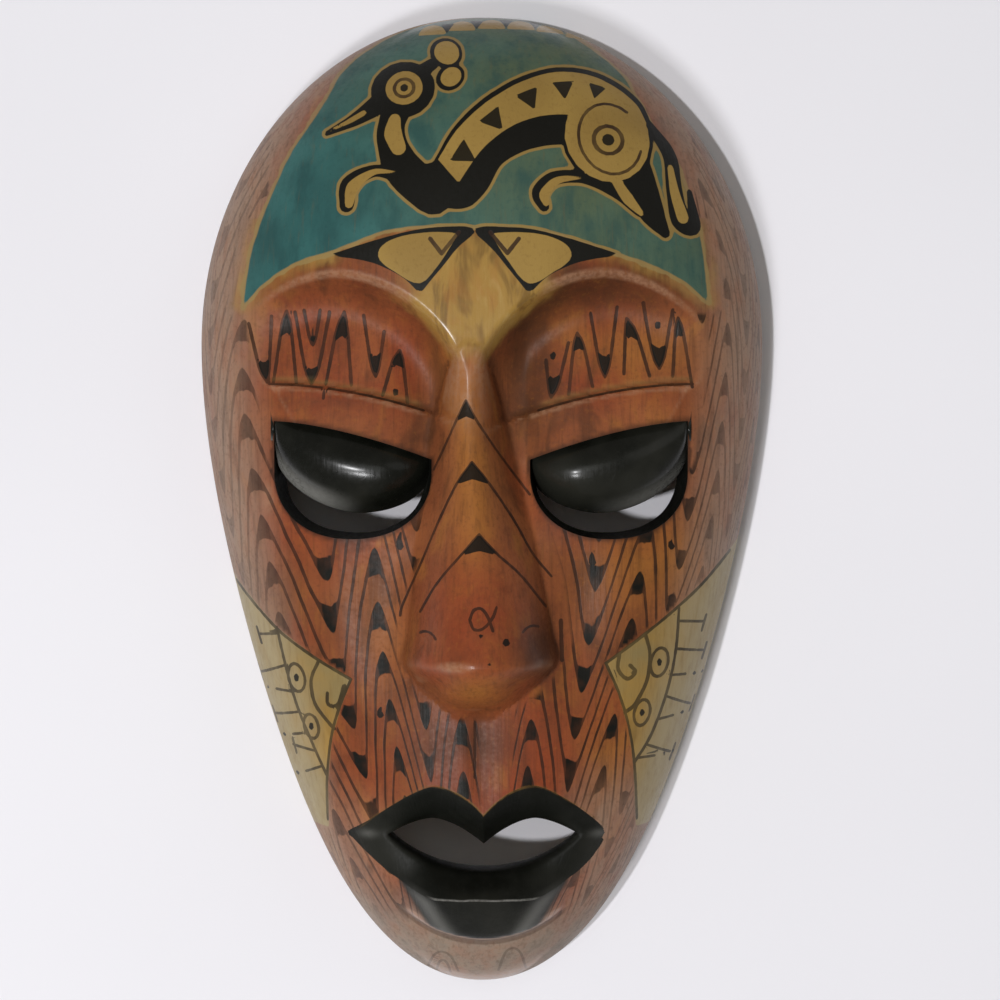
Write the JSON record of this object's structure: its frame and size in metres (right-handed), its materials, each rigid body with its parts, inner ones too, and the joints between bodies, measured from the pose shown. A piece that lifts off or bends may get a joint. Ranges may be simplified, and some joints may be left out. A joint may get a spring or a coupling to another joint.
{
  "type": "wall mask",
  "caption": "Long oval carved wooden face mask with a hollow back, slit eyes under closed lids, and an open mouth, lying face up on its flat rim.",
  "frame": {"origin": "middle of the mask's bounding box, on the plane of the flat back rim", "axes": "+Y from the chin to the crown, +Z out of the face, away from the rim"},
  "size_m": [0.1748, 0.3, 0.0898],
  "materials": {
    "painted_wood": "stained and hand painted, thin gloss varnish"
  },
  "bodies": {
    "root": {"mask": "painted_wood"}
  },
  "joints": []
}
